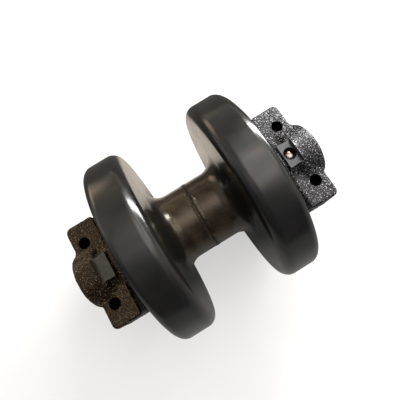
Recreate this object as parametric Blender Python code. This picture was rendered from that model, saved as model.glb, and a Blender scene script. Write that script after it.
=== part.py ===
"""Double-rim track roller with bolt-on end collars.

X runs along the shaft, from the left collar to the right one. +Z is the side where the bolt heads
seat, and the collars' flat faces for the track frame look down, along -Z. The origin is the
middle of the roller, on the shaft's axis. Lengths are in metres.

The two shell halves, the weld between them, the bushings and the inner seal rings turn on a fixed
shaft. The collars, their lock pins and the outer seal rings stay with the shaft.
"""

import math

import bmesh
import bpy

CLEARANCE = 0.0003
# How far a cutter reaches past the faces it opens
OVERCUT = 0.0050

# Turned roller shell
TREAD_RADIUS = 0.1200
WEB_INNER_X = 0.0457
RIM_OUTER_X = 0.0918
RIM_INNER_ROUND = 0.0130
RIM_OUTER_ROUND = 0.0097
WAIST_RADIUS = 0.0438
WAIST_FILLET = 0.0200
DISH_DEPTH = 0.0070
DISH_OUTER_RADIUS = 0.1000
DISH_INNER_RADIUS = 0.0540
DISH_SLOPE = 0.0040
HUB_RADIUS = 0.0445
RESERVOIR_RADIUS = 0.0290
WELD_DEPTH = 0.0080
WELD_HALF_WIDTH = 0.0045
WELD_CROWN = 0.0008

# Shaft and bushings
SHAFT_RADIUS = 0.0225
SHAFT_END_X = 0.1595
SHAFT_CHAMFER = 0.0015
BUSHING_INNER_X = 0.0480
BUSHING_BORE = 0.0229
BUSHING_RADIUS = 0.0255
BUSHING_FLANGE_RADIUS = 0.0310
BUSHING_FLANGE = 0.0040
FLANGE_CLEARANCES = 3
GALLERY_RADIUS = 0.0030
GALLERY_OFFSET_Y = 0.0115
GALLERY_INNER_X = -0.0060
PORT_RADIUS = 0.0022
PLUG_THREAD_RADIUS = 0.0050
PLUG_THREAD_DEPTH = 0.0100
PLUG_HEAD_RADIUS = 0.0075
PLUG_HEAD = 0.0030
PLUG_SOCKET_RADIUS = 0.0035
PLUG_SOCKET_DEPTH = 0.0018
WASHER_THICKNESS = 0.0010

# Face seals: the two metal rings of a pair meet at SEAL_X, and each rides on a rubber ring
SEAL_X = 0.1015
SEAL_GAP = 0.0024
SEAL_BORE_RADIUS = 0.0391
SEAL_BORE_BACK = 0.0084
SEAL_RING_BACK = 0.0065
SEAL_RING_BORE = 0.0270
SEAL_NOSE_RADIUS = 0.0362
SEAL_NOSE = 0.0018
SEAL_RAMP_FRONT_RADIUS = 0.0325
SEAL_RAMP_BACK_RADIUS = 0.0310
TORIC_RADIUS = 0.0359
TORIC_SECTION = 0.0026
TORIC_BACK = 0.0050
ORING_X = 0.1180
ORING_RADIUS = 0.0212
ORING_SECTION = 0.00125
ORING_GROOVE_RADIUS = 0.0196
ORING_GROOVE_HALF_WIDTH = 0.0018

# Cast end collars
COLLAR_FLANGE_END_X = 0.1135
COLLAR_NECK_RADIUS = 0.0290
PAD_INNER_X = 0.1170
PAD_OUTER_X = 0.1552
PAD_HALF_WIDTH = 0.0686
PAD_SEAT_Z = 0.0192
MOUNT_FACE_Z = -0.0300
MILL_SETBACK = 0.0020
PAD_CORNER_OUT = 0.0075
PAD_CORNER_IN = 0.0050
PAD_EDGE = 0.0020
NOTCH_DEPTH = 0.0030
NOTCH_HALF_WIDTH = 0.0195
BOSS_RADIUS = 0.0360
BOSS_INNER_X = 0.1360
BOSS_END_X = 0.1644
BOSS_ROUND = 0.0060
BOSS_BORE_CHAMFER = 0.0015
FACET_Z = 0.0350
FACET_DROP = 0.0028
COLLAR_OVERLAP = 0.0020
FACET_HALF_WIDTH_IN = 0.0162
FACET_HALF_WIDTH_OUT = 0.0142
BOLT_HOLE_RADIUS = 0.00725
BOLT_X = 0.1399
BOLT_Y = 0.0414
PIN_X = 0.1284
PIN_RADIUS = 0.0060
PIN_CHAMFER = 0.0010
PIN_RECESS = 0.0030
PIN_MOUTH_RADIUS = 0.0080
PIN_WALL = 0.0035

SHELL_STEPS = 40
INNER_STEPS = 32
SEAL_STEPS = 24
SMALL_STEPS = 24
GALLERY_STEPS = 12
PORT_STEPS = 10

LEFT, RIGHT = -1, 1
SIDES = {"left": LEFT, "right": RIGHT}


def clear_scene():
    for obj in list(bpy.data.objects):
        bpy.data.objects.remove(obj, do_unlink=True)


def material(name, colour, roughness, metallic):
    made = bpy.data.materials.new(name)
    made.use_nodes = True
    shader = made.node_tree.nodes["Principled BSDF"]
    shader.inputs["Base Color"].default_value = (*colour, 1.0)
    shader.inputs["Roughness"].default_value = roughness
    shader.inputs["Metallic"].default_value = metallic
    return made


def arc(centre, radius, start, end, steps):
    """Points of an arc in a plane, from the angle start to the angle end, in degrees."""
    points = []
    for i in range(steps + 1):
        angle = math.radians(start + (end - start) * i / steps)
        points.append((centre[0] + radius * math.cos(angle), centre[1] + radius * math.sin(angle)))
    return points


def add_object(name, mesh_tools, look, sharp_degrees=35):
    """Makes an object of a bmesh, with smooth shading broken at its sharp edges."""
    bmesh.ops.recalc_face_normals(mesh_tools, faces=mesh_tools.faces)
    mesh = bpy.data.meshes.new(name)
    mesh_tools.to_mesh(mesh)
    mesh_tools.free()
    mesh.shade_smooth()
    mesh.set_sharp_from_angle(angle=math.radians(sharp_degrees))
    obj = bpy.data.objects.new(name, mesh)
    bpy.context.scene.collection.objects.link(obj)
    if look:
        mesh.materials.append(look)
    return obj


def turned(name, outline, steps, look, side=RIGHT, closed=True):
    """Turns an outline of (x, radius) points about the X axis. An open one starts and ends on it."""
    shape = bmesh.new()
    verts = [shape.verts.new((side * x, 0.0, radius)) for x, radius in outline]
    edges = [shape.edges.new(pair) for pair in zip(verts, verts[1:])]
    if closed:
        edges.append(shape.edges.new((verts[-1], verts[0])))
    bmesh.ops.spin(
        shape,
        geom=verts + edges,
        cent=(0, 0, 0),
        axis=(1, 0, 0),
        angle=2 * math.pi,
        steps=steps,
        use_merge=True,
    )
    bmesh.ops.remove_doubles(shape, verts=shape.verts, dist=1e-6)
    return add_object(name, shape, look)


def rod(name, radius, low, high, axis, centre, look=None, steps=SMALL_STEPS, chamfer=0.0):
    """A straight round bar along one axis, through centre, from low to high along that axis."""
    ends = [(low, 0.0), (low, radius - chamfer), (low + chamfer, radius)]
    ends += [(high - chamfer, radius), (high, radius - chamfer), (high, 0.0)]
    outline = [point for i, point in enumerate(ends) if i == 0 or point != ends[i - 1]]
    bar = turned(name, outline, steps, look, closed=False)
    for vert in bar.data.vertices:
        along, first, second = vert.co
        if axis == "Y":
            vert.co = (first, along, second)
        elif axis == "Z":
            vert.co = (first, second, along)
    if axis == "Y":
        bar.data.flip_normals()
    bar.location = centre
    return bar


def prism(name, outline, low, high, fall=0.0):
    """Raises an outline of (x, y) points from low to high. Its top falls away from the roller."""
    shape = bmesh.new()
    base = shape.faces.new([shape.verts.new((x, y, low)) for x, y in outline])
    raised = bmesh.ops.extrude_face_region(shape, geom=[base])["geom"]
    start, end = min(abs(x) for x, _ in outline), max(abs(x) for x, _ in outline)
    for item in raised:
        if isinstance(item, bmesh.types.BMVert):
            item.co.z = high - fall * (abs(item.co.x) - start) / (end - start)
    return add_object(name, shape, None)


def as_tool(obj):
    obj.hide_render = True
    obj.display_type = "WIRE"
    return obj


def combine(obj, tool, operation):
    step = obj.modifiers.new(f"{operation.title()} {tool.name}", "BOOLEAN")
    step.operation = operation
    step.solver = "EXACT"
    step.object = as_tool(tool)


def shell_outline():
    """Half of the shell in section: the weld's bevel, the waist, the web, the rim and the hub."""
    dish_x = RIM_OUTER_X - DISH_DEPTH
    rim_in = TREAD_RADIUS - RIM_INNER_ROUND
    rim_out = TREAD_RADIUS - RIM_OUTER_ROUND
    hub_end = SEAL_X - SEAL_GAP / 2
    seal_back = SEAL_X - SEAL_BORE_BACK
    flange_seat = seal_back - BUSHING_FLANGE - FLANGE_CLEARANCES * CLEARANCE
    root = CLEARANCE / 2
    fillet = (WEB_INNER_X - WAIST_FILLET, WAIST_RADIUS + WAIST_FILLET)
    points = [(root, RESERVOIR_RADIUS), (root, WAIST_RADIUS - WELD_DEPTH)]
    points += [(WELD_HALF_WIDTH, WAIST_RADIUS)]
    points += arc(fillet, WAIST_FILLET, -90, 0, 6)
    points += arc((WEB_INNER_X + RIM_INNER_ROUND, rim_in), RIM_INNER_ROUND, 180, 90, 4)
    points += arc((RIM_OUTER_X - RIM_OUTER_ROUND, rim_out), RIM_OUTER_ROUND, 90, 0, 4)
    points += [(RIM_OUTER_X, DISH_OUTER_RADIUS), (dish_x, DISH_OUTER_RADIUS - DISH_SLOPE)]
    points += [(dish_x, DISH_INNER_RADIUS), (dish_x + DISH_SLOPE, HUB_RADIUS)]
    points += [(hub_end, HUB_RADIUS), (hub_end, SEAL_BORE_RADIUS), (seal_back, SEAL_BORE_RADIUS)]
    points += [(seal_back, BUSHING_FLANGE_RADIUS + CLEARANCE)]
    points += [(flange_seat, BUSHING_FLANGE_RADIUS + CLEARANCE)]
    points += [(flange_seat, BUSHING_RADIUS + CLEARANCE)]
    points += [(BUSHING_INNER_X, BUSHING_RADIUS + CLEARANCE), (BUSHING_INNER_X, RESERVOIR_RADIUS)]
    return points


def make_shell(paint):
    for word, side in SIDES.items():
        turned(f"shell_{word}", shell_outline(), SHELL_STEPS, paint, side)


def make_weld(paint):
    """The bead that fills the V between the halves, crowned a little above the waist."""
    slope = WELD_DEPTH / WELD_HALF_WIDTH
    inset = CLEARANCE * math.hypot(1, slope) / slope
    half = WELD_HALF_WIDTH - inset
    root = WAIST_RADIUS - half * slope
    crown_radius = (half**2 + WELD_CROWN**2) / (2 * WELD_CROWN)
    spread = math.degrees(math.asin(half / crown_radius))
    centre = (0.0, WAIST_RADIUS + WELD_CROWN - crown_radius)
    points = arc(centre, crown_radius, 90 + spread, 90 - spread, 2)
    points += [(CLEARANCE, root + CLEARANCE), (-CLEARANCE, root + CLEARANCE)]
    turned("weld_bead", points, SHELL_STEPS, paint)


def make_bushings(bronze):
    seal_back = SEAL_X - SEAL_BORE_BACK
    flange_end = seal_back - (FLANGE_CLEARANCES - 1) * CLEARANCE
    flange_start = flange_end - BUSHING_FLANGE
    points = [
        (BUSHING_INNER_X + CLEARANCE, BUSHING_BORE),
        (BUSHING_INNER_X + CLEARANCE, BUSHING_RADIUS),
        (flange_start, BUSHING_RADIUS),
        (flange_start, BUSHING_FLANGE_RADIUS),
        (flange_end, BUSHING_FLANGE_RADIUS),
        (flange_end, BUSHING_BORE),
    ]
    for word, side in SIDES.items():
        turned(f"bushing_{word}", points, INNER_STEPS, bronze, side)


def make_shaft(steel):
    """Plain shaft with an O-ring groove and a lock pin hole near each end, and an oil gallery."""
    half = [(ORING_X - ORING_GROOVE_HALF_WIDTH, SHAFT_RADIUS)]
    half += [(ORING_X - ORING_GROOVE_HALF_WIDTH, ORING_GROOVE_RADIUS)]
    half += [(ORING_X + ORING_GROOVE_HALF_WIDTH, ORING_GROOVE_RADIUS)]
    half += [(ORING_X + ORING_GROOVE_HALF_WIDTH, SHAFT_RADIUS)]
    half += [(SHAFT_END_X - SHAFT_CHAMFER, SHAFT_RADIUS)]
    half += [(SHAFT_END_X, SHAFT_RADIUS - SHAFT_CHAMFER), (SHAFT_END_X, 0.0)]
    outline = [(-x, radius) for x, radius in reversed(half)] + half
    shaft = turned("shaft", outline, INNER_STEPS, steel, closed=False)
    reach = SHAFT_RADIUS + OVERCUT
    for word, side in SIDES.items():
        hole = rod(
            f"shaft_pin_hole_{word}", PIN_RADIUS + CLEARANCE, -reach, reach, "Z", (side * PIN_X, 0, 0)
        )
        combine(shaft, hole, "DIFFERENCE")
    port = rod("shaft_oil_port", PORT_RADIUS, GALLERY_OFFSET_Y, reach, "Y", (0, 0, 0), steps=PORT_STEPS)
    combine(shaft, port, "DIFFERENCE")
    thread_start, past_end = SHAFT_END_X - PLUG_THREAD_DEPTH, SHAFT_END_X + OVERCUT
    gallery = turned(
        "shaft_gallery",
        [
            (GALLERY_INNER_X, 0.0), (GALLERY_INNER_X, GALLERY_RADIUS), (thread_start, GALLERY_RADIUS),
            (thread_start, PLUG_THREAD_RADIUS + CLEARANCE), (past_end, PLUG_THREAD_RADIUS + CLEARANCE),
            (past_end, 0.0),
        ],
        GALLERY_STEPS, None, closed=False,
    )
    gallery.location.y = GALLERY_OFFSET_Y
    combine(shaft, gallery, "DIFFERENCE")


def make_plug(zinc, copper):
    """Socket-head oil plug in the right end of the shaft, on a sealing washer."""
    face = SHAFT_END_X + CLEARANCE
    washer_end = face + WASHER_THICKNESS
    seat = washer_end + CLEARANCE
    outline = [
        (SHAFT_END_X - PLUG_THREAD_DEPTH + 2 * CLEARANCE, 0.0),
        (SHAFT_END_X - PLUG_THREAD_DEPTH + 2 * CLEARANCE, PLUG_THREAD_RADIUS - CLEARANCE / 2),
        (seat, PLUG_THREAD_RADIUS - CLEARANCE / 2),
        (seat, PLUG_HEAD_RADIUS),
        (seat + PLUG_HEAD, PLUG_HEAD_RADIUS),
        (seat + PLUG_HEAD, 0.0),
    ]
    plug = turned("oil_plug", outline, SMALL_STEPS, zinc, closed=False)
    plug.location.y = GALLERY_OFFSET_Y
    top = seat + PLUG_HEAD
    socket = rod(
        "oil_plug_socket", PLUG_SOCKET_RADIUS, top - PLUG_SOCKET_DEPTH, top + PLUG_SOCKET_DEPTH, "X",
        (0, GALLERY_OFFSET_Y, 0), steps=6,
    )
    combine(plug, socket, "DIFFERENCE")
    ring = [
        (face, PLUG_THREAD_RADIUS + CLEARANCE),
        (face, PLUG_HEAD_RADIUS),
        (washer_end, PLUG_HEAD_RADIUS),
        (washer_end, PLUG_THREAD_RADIUS + CLEARANCE),
    ]
    washer = turned("plug_washer", ring, SMALL_STEPS, copper)
    washer.location.y = GALLERY_OFFSET_Y


def seal_ring_outline(away):
    """Seal ring section, its face at SEAL_X and its ramp behind. away is +1 outboard, -1 inboard."""
    section = [
        (CLEARANCE / 2, SEAL_RING_BORE),
        (CLEARANCE / 2, SEAL_NOSE_RADIUS),
        (SEAL_NOSE, SEAL_NOSE_RADIUS),
        (SEAL_NOSE, SEAL_RAMP_FRONT_RADIUS),
        (SEAL_RING_BACK, SEAL_RAMP_BACK_RADIUS),
        (SEAL_RING_BACK, SEAL_RING_BORE),
    ]
    return [(SEAL_X + away * x, radius) for x, radius in section]


def make_seals(chrome, rubber):
    """A turning pair in the shell and a fixed pair in the collar, on each side."""
    for word, side in SIDES.items():
        for kind, away in (("turning", -1), ("fixed", 1)):
            turned(f"seal_ring_{kind}_{word}", seal_ring_outline(away), SEAL_STEPS, chrome, side)
            centre = (SEAL_X + away * TORIC_BACK, TORIC_RADIUS)
            section = arc(centre, TORIC_SECTION, 0, 300, 5)
            turned(f"toric_{kind}_{word}", section, SEAL_STEPS, rubber, side)
        groove = arc((ORING_X, ORING_RADIUS), ORING_SECTION, 0, 300, 5)
        turned(f"shaft_oring_{word}", groove, SEAL_STEPS, rubber, side)


def pad_outline(side):
    """Both bolt pads in plan, with rounded corners and a shallow notch on the roller's side."""
    points = []
    for sign in (-1, 1):
        outer = (PAD_OUTER_X - PAD_CORNER_OUT, sign * (PAD_HALF_WIDTH - PAD_CORNER_OUT))
        inner = (PAD_INNER_X + PAD_CORNER_IN, sign * (PAD_HALF_WIDTH - PAD_CORNER_IN))
        mouth = (PAD_INNER_X + NOTCH_DEPTH, sign * NOTCH_HALF_WIDTH)
        corner = arc(outer, PAD_CORNER_OUT, 0, sign * 90, 4)
        corner += arc(inner, PAD_CORNER_IN, sign * 90, sign * 180, 2)
        corner += arc(mouth, NOTCH_DEPTH, 180, 180 + sign * 90, 2)[:-1]
        corner.append((PAD_INNER_X + NOTCH_DEPTH, sign * (NOTCH_HALF_WIDTH - NOTCH_DEPTH)))
        points += corner[::-1] if sign < 0 else corner
    return [(side * x, y) for x, y in points]


def make_pads(name, side, look):
    """The block of both pads, its upper edge broken, reaching below the mounting face."""
    shape = bmesh.new()
    below = MOUNT_FACE_Z - OVERCUT
    base = shape.faces.new([shape.verts.new((x, y, below)) for x, y in pad_outline(side)])
    raised = bmesh.ops.extrude_face_region(shape, geom=[base])["geom"]
    for item in raised:
        if isinstance(item, bmesh.types.BMVert):
            item.co.z = PAD_SEAT_Z
    top = [item for item in raised if isinstance(item, bmesh.types.BMFace)]
    rim = list({edge for face in top for edge in face.edges})
    bmesh.ops.bevel(shape, geom=rim, offset=PAD_EDGE, segments=2, profile=0.5, affect="EDGES")
    return add_object(name, shape, look)


def make_collar(word, side, look):
    """Cast collar: two bolt pads beside a half-round boss, and a round flange over the seal."""
    collar = make_pads(f"collar_{word}", side, look)
    face = SEAL_X + SEAL_GAP / 2
    neck_end = BOSS_INNER_X + COLLAR_OVERLAP
    neck = turned(
        f"collar_flange_{word}",
        [
            (face, 0.0), (face, HUB_RADIUS), (COLLAR_FLANGE_END_X, HUB_RADIUS),
            (COLLAR_FLANGE_END_X, COLLAR_NECK_RADIUS), (neck_end, COLLAR_NECK_RADIUS), (neck_end, 0.0),
        ],
        SHELL_STEPS, look, side, closed=False,
    )
    combine(collar, neck, "UNION")
    end = [(BOSS_INNER_X, 0.0), (BOSS_INNER_X, BOSS_RADIUS)]
    end += arc((BOSS_END_X - BOSS_ROUND, BOSS_RADIUS - BOSS_ROUND), BOSS_ROUND, 90, 0, 3)
    end += [(BOSS_END_X, 0.0)]
    combine(collar, turned(f"collar_boss_{word}", end, SHELL_STEPS, look, side, closed=False), "UNION")
    inner, outer = PAD_INNER_X + NOTCH_DEPTH, BOSS_INNER_X + COLLAR_OVERLAP
    block = [
        (side * inner, -FACET_HALF_WIDTH_IN), (side * outer, -FACET_HALF_WIDTH_OUT),
        (side * outer, FACET_HALF_WIDTH_OUT), (side * inner, FACET_HALF_WIDTH_IN),
    ]
    combine(collar, prism(f"collar_facet_{word}", block, 0.0, FACET_Z, FACET_DROP), "UNION")
    cut_frame_side(collar, word, side)
    cut_bores(collar, word, side)
    cut_pin_hole(collar, word, side)


def cut_frame_side(collar, word, side):
    """Mills the flat mounting face across both pads and the boss."""
    start, end = COLLAR_FLANGE_END_X + MILL_SETBACK, BOSS_END_X + OVERCUT
    half = PAD_HALF_WIDTH + OVERCUT
    floor = [(side * x, y) for x, y in ((start, -half), (end, -half), (end, half), (start, half))]
    low = -HUB_RADIUS - OVERCUT
    combine(collar, prism(f"collar_mill_{word}", floor, low, MOUNT_FACE_Z), "DIFFERENCE")


def cut_bores(collar, word, side):
    """Cuts the shaft's bore with the seal's pocket, and the two bolt holes."""
    face = SEAL_X + SEAL_GAP / 2
    bore = SHAFT_RADIUS + CLEARANCE
    pocket = turned(
        f"collar_bore_{word}",
        [
            (face - OVERCUT, 0.0), (face - OVERCUT, SEAL_BORE_RADIUS),
            (SEAL_X + SEAL_BORE_BACK, SEAL_BORE_RADIUS), (SEAL_X + SEAL_BORE_BACK, bore),
            (BOSS_END_X - BOSS_BORE_CHAMFER, bore),
            (BOSS_END_X + OVERCUT, bore + BOSS_BORE_CHAMFER + OVERCUT), (BOSS_END_X + OVERCUT, 0.0),
        ],
        INNER_STEPS, None, side, closed=False,
    )
    combine(collar, pocket, "DIFFERENCE")
    for number, y in enumerate((-BOLT_Y, BOLT_Y), start=1):
        hole = rod(
            f"collar_bolt_hole_{word}_{number}", BOLT_HOLE_RADIUS, MOUNT_FACE_Z - OVERCUT,
            PAD_SEAT_Z + OVERCUT, "Z", (side * BOLT_X, y, 0),
        )
        combine(collar, hole, "DIFFERENCE")


def cut_pin_hole(collar, word, side):
    """The right collar's pin goes in from the facet, the left one's from the mounting face."""
    low, high = pin_hole_ends(side)
    centre = (side * PIN_X, 0, 0)
    hole = rod(f"collar_pin_hole_{word}", PIN_RADIUS + CLEARANCE, low, high, "Z", centre)
    combine(collar, hole, "DIFFERENCE")
    if side == RIGHT:
        floor = FACET_Z - FACET_DROP / 2 - PIN_RECESS
        mouth = rod(f"collar_pin_mouth_{word}", PIN_MOUTH_RADIUS, floor, high, "Z", centre)
        combine(collar, mouth, "DIFFERENCE")


def pin_hole_ends(side):
    if side == RIGHT:
        return MOUNT_FACE_Z + PIN_WALL, FACET_Z + OVERCUT
    return MOUNT_FACE_Z - OVERCUT, FACET_Z - FACET_DROP - PIN_WALL


def make_pins(steel):
    """Lock pins through collar and shaft, each sunk a little in its mouth."""
    for word, side in SIDES.items():
        low, high = pin_hole_ends(side)
        if side == RIGHT:
            low, high = low + CLEARANCE, FACET_Z - FACET_DROP / 2 - PIN_RECESS
        else:
            low, high = MOUNT_FACE_Z + PIN_CHAMFER, high - CLEARANCE
        rod(
            f"lock_pin_{word}", PIN_RADIUS, low, high, "Z", (side * PIN_X, 0, 0), steel,
            chamfer=PIN_CHAMFER,
        )


def main():
    clear_scene()
    shell_paint = material("black_satin_paint", (0.020, 0.021, 0.019), 0.32, 0.0)
    cast_paint = material("black_cast_paint", (0.030, 0.028, 0.026), 0.45, 0.0)
    steel = material("ground_steel", (0.52, 0.52, 0.53), 0.25, 1.0)
    pin_steel = material("bright_pin_steel", (0.66, 0.66, 0.68), 0.18, 1.0)
    bronze = material("bushing_bronze", (0.62, 0.42, 0.20), 0.35, 1.0)
    chrome = material("seal_ring_iron", (0.60, 0.60, 0.62), 0.12, 1.0)
    rubber = material("seal_rubber", (0.018, 0.018, 0.018), 0.70, 0.0)
    zinc = material("plug_zinc", (0.70, 0.68, 0.60), 0.30, 1.0)
    copper = material("washer_copper", (0.72, 0.40, 0.26), 0.35, 1.0)
    make_shell(shell_paint)
    make_weld(shell_paint)
    make_bushings(bronze)
    make_shaft(steel)
    make_plug(zinc, copper)
    make_seals(chrome, rubber)
    for word, side in SIDES.items():
        make_collar(word, side, cast_paint)
    make_pins(pin_steel)


main()
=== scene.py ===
"""Looks of the track roller: turned shells, cast collars, painted and bare metal, floor, light, camera.

Everything is in metres in the part's own frame: X along the shaft, +Z on the bolt heads' side, origin at the
middle of the shaft. Sizes repeat the CAD source's driving dimensions, or come from the frame's boxes.
"""

import math

import bmesh
import bpy
import numpy as np
from mathutils import Matrix, Vector, noise


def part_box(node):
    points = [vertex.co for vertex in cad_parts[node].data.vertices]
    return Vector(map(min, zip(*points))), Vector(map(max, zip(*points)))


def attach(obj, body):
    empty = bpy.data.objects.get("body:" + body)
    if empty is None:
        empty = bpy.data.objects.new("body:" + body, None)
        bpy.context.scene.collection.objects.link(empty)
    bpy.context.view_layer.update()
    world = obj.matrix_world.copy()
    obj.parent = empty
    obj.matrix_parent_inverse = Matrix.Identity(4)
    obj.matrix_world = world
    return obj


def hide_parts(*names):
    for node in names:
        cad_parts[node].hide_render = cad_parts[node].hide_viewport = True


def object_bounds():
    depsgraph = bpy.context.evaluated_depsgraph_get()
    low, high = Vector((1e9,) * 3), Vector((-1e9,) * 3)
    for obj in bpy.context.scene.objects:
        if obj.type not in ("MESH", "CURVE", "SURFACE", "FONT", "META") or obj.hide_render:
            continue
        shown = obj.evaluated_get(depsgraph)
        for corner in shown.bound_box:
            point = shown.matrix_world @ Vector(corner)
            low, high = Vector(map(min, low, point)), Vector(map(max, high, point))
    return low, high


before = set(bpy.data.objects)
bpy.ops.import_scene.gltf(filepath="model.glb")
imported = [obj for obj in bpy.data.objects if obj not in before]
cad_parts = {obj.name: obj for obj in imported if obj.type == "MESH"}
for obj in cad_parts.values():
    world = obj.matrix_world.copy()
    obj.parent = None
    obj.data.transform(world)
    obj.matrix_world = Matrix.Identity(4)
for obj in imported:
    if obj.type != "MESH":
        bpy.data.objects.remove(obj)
CAD_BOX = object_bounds()

LEFT, RIGHT = -1, 1
SIDES = {"left": LEFT, "right": RIGHT}

# Driving dimensions, read from the frame's boxes
SHELL_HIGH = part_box("shell_right")[1]
COLLAR_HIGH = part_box("collar_right")[1]
TREAD_RADIUS = SHELL_HIGH.z
HUB_END_X = SHELL_HIGH.x
BOSS_END_X = COLLAR_HIGH.x
PAD_HALF_WIDTH = COLLAR_HIGH.y
SHAFT_END_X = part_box("shaft")[1].x

# The rest of the CAD model's dimensions. OVERCUT is how far a cutter reaches past what it opens
CLEARANCE = 0.0003
OVERCUT = 0.0050
WEB_INNER_X = 0.0457
RIM_OUTER_X = 0.0918
RIM_INNER_ROUND = 0.0130
RIM_OUTER_ROUND = 0.0097
WAIST_RADIUS = 0.0438
WAIST_FILLET = 0.0200
DISH_DEPTH = 0.0070
DISH_OUTER_RADIUS = 0.1000
DISH_INNER_RADIUS = 0.0540
DISH_SLOPE = 0.0040
HUB_RADIUS = 0.0445
RESERVOIR_RADIUS = 0.0290
WELD_DEPTH = 0.0080
WELD_HALF_WIDTH = 0.0045
WELD_CROWN = 0.0008
SHAFT_RADIUS = 0.0225
SHAFT_CHAMFER = 0.0015
BUSHING_INNER_X = 0.0480
BUSHING_BORE = 0.0229
BUSHING_RADIUS = 0.0255
BUSHING_FLANGE_RADIUS = 0.0310
BUSHING_FLANGE = 0.0040
FLANGE_CLEARANCES = 3
GALLERY_RADIUS = 0.0030
GALLERY_OFFSET_Y = 0.0115
GALLERY_INNER_X = -0.0060
PLUG_THREAD_RADIUS = 0.0050
PLUG_THREAD_DEPTH = 0.0100
PLUG_HEAD_RADIUS = 0.0075
PLUG_HEAD = 0.0030
PLUG_SOCKET_RADIUS = 0.0035
PLUG_SOCKET_DEPTH = 0.0018
WASHER_THICKNESS = 0.0010
SEAL_X = 0.1015
SEAL_GAP = 0.0024
SEAL_BORE_RADIUS = 0.0391
SEAL_BORE_BACK = 0.0084
SEAL_RING_BACK = 0.0065
SEAL_RING_BORE = 0.0270
SEAL_NOSE_RADIUS = 0.0362
SEAL_NOSE = 0.0018
SEAL_RAMP_FRONT_RADIUS = 0.0325
SEAL_RAMP_BACK_RADIUS = 0.0310
TORIC_RADIUS = 0.0359
TORIC_SECTION = 0.0026
TORIC_BACK = 0.0050
ORING_X = 0.1180
ORING_RADIUS = 0.0212
ORING_SECTION = 0.00125
ORING_GROOVE_RADIUS = 0.0196
ORING_GROOVE_HALF_WIDTH = 0.0018
COLLAR_FLANGE_END_X = 0.1135
COLLAR_NECK_RADIUS = 0.0290
PAD_INNER_X = 0.1170
PAD_OUTER_X = 0.1552
PAD_SEAT_Z = 0.0192
MOUNT_FACE_Z = -0.0300
PAD_CORNER_OUT = 0.0075
PAD_CORNER_IN = 0.0050
NOTCH_DEPTH = 0.0030
BOSS_RADIUS = 0.0360
BOSS_INNER_X = 0.1360
BOSS_ROUND = 0.0060
BOSS_BORE_CHAMFER = 0.0015
COLLAR_OVERLAP = 0.0020
FACET_Z = 0.0350
FACET_DROP = 0.0028
FACET_HALF_WIDTH_IN = 0.0162
FACET_HALF_WIDTH_OUT = 0.0142
BOLT_HOLE_RADIUS = 0.00725
BOLT_X = 0.1399
BOLT_Y = 0.0414
PIN_X = 0.1284
PIN_RADIUS = 0.0060
PIN_RECESS = 0.0030
PIN_MOUTH_RADIUS = 0.0080
PIN_WALL = 0.0035

# Fine ridges on the rim's outer rounding: degrees from its top, height and spread
RIDGES = (42.0, 56.0)
RIDGE_HEIGHT = 0.00010
RIDGE_SPREAD = 2.0

# Weld bead: its edges, ripples round the waist, lumps, pits, and the groove that wanders along it
WELD_TOE_X = 0.0040
WELD_OVERLAP = 0.0006
WELD_RIPPLES = 92
RIPPLE_HEIGHT = 0.000048
LUMP_HEIGHT = 0.00030
SMALL_LUMP_HEIGHT = 0.00020
PIT_DEPTH = 0.0007
PIT_THRESHOLD = 0.38
GROOVE_DEPTH = 0.00035
GROOVE_SPREAD = 0.0007
GROOVE_WANDER = 0.0012

# Cast skin: the fillets between its masses, and its random lumps as (width, height)
BOSS_FILLET = 0.0075
BLOCK_FILLET = 0.0040
NECK_FILLET = 0.0050
FLANGE_FILLET = 0.0020
PAD_EDGE_ROUND = 0.0030
CAST_LUMPS = ((0.0026, 0.00018), (0.0017, 0.00014), (0.0140, 0.00024))
CAST_GRAIN = 0.0017
LEFT_SEED, RIGHT_SEED = 11, 23

# Domed ends of the lock pins
PIN_DOME = 0.0010
PIN_CHAMFER = 0.0008
PIN_FLAT_RADIUS = PIN_RADIUS - 0.0012
DOME_STEPS = 6
LEFT_PIN_RECESS = 0.0010
RIGHT_PIN_TOP = FACET_Z - FACET_DROP / 2 - PIN_RECESS

# Browner colour on the waist, partly paint tone and partly painted warm reflection: its (place, colour)
# stops, its gloss's tint, and where it fades out
WAIST_BROWN = ((0.35, (0.0120, 0.0080, 0.0050)), (0.65, (0.0420, 0.0290, 0.0170)))
WAIST_TINT = (0.95, 0.78, 0.58)
WAIST_BROWN_END = 0.0760
WAIST_BROWN_START = 0.0560
WAIST_SQUASH = 1.25

# Stage: the floor's half size, the drop to the floor that only reflections see, the spot of painted light on
# that floor, and the backdrop
FLOOR_SIZE = 4.0
REFLECTED_DROP = 0.0005
REFLECTED_SPOT = (0.01, 0.155, 0.0)
BACKDROP_RADIUS = 3.9
BACKDROP_TOP = 6.0
BACKDROP_STEPS = 96

# Soft bright patches of the studio: direction, inner and outer angle in degrees, and added light
PATCHES = [
    ((0.45, 0.12, 0.88), 10, 38, (2.1, 2.0, 1.9)),
    ((-0.40, 0.90, 0.16), 3, 18, (2.2, 1.65, 1.15)),
    ((0.05, 0.99, 0.02), 2, 12, (0.5, 0.38, 0.28)),
]
SKY_DIRECTION = (0.30, 0.85, 0.35)
CLUTTER_SCALE = 3.4
CLUTTER_DETAIL = 4.0

# Key light, and camera
KEY_PLACE = (0.84, 0.54, 0.42)
KEY_AIM = (0.0, 0.0, 0.05)
KEY_SIZE = (0.27, 1.15)
KEY_POWER = 24
KEY_LEAN = -34
CAMERA_PLACE = (-0.0054, -0.0833, 0.4246)
CAMERA_AIM = (0.0096, 0.0156, 0.0040)
CAMERA_UP = (0.5204, 0.8270, 0.2128)
CAMERA_LENS = 30.64
CAMERA_SENSOR = 36.0
CAMERA_CLIP = 0.01

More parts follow.
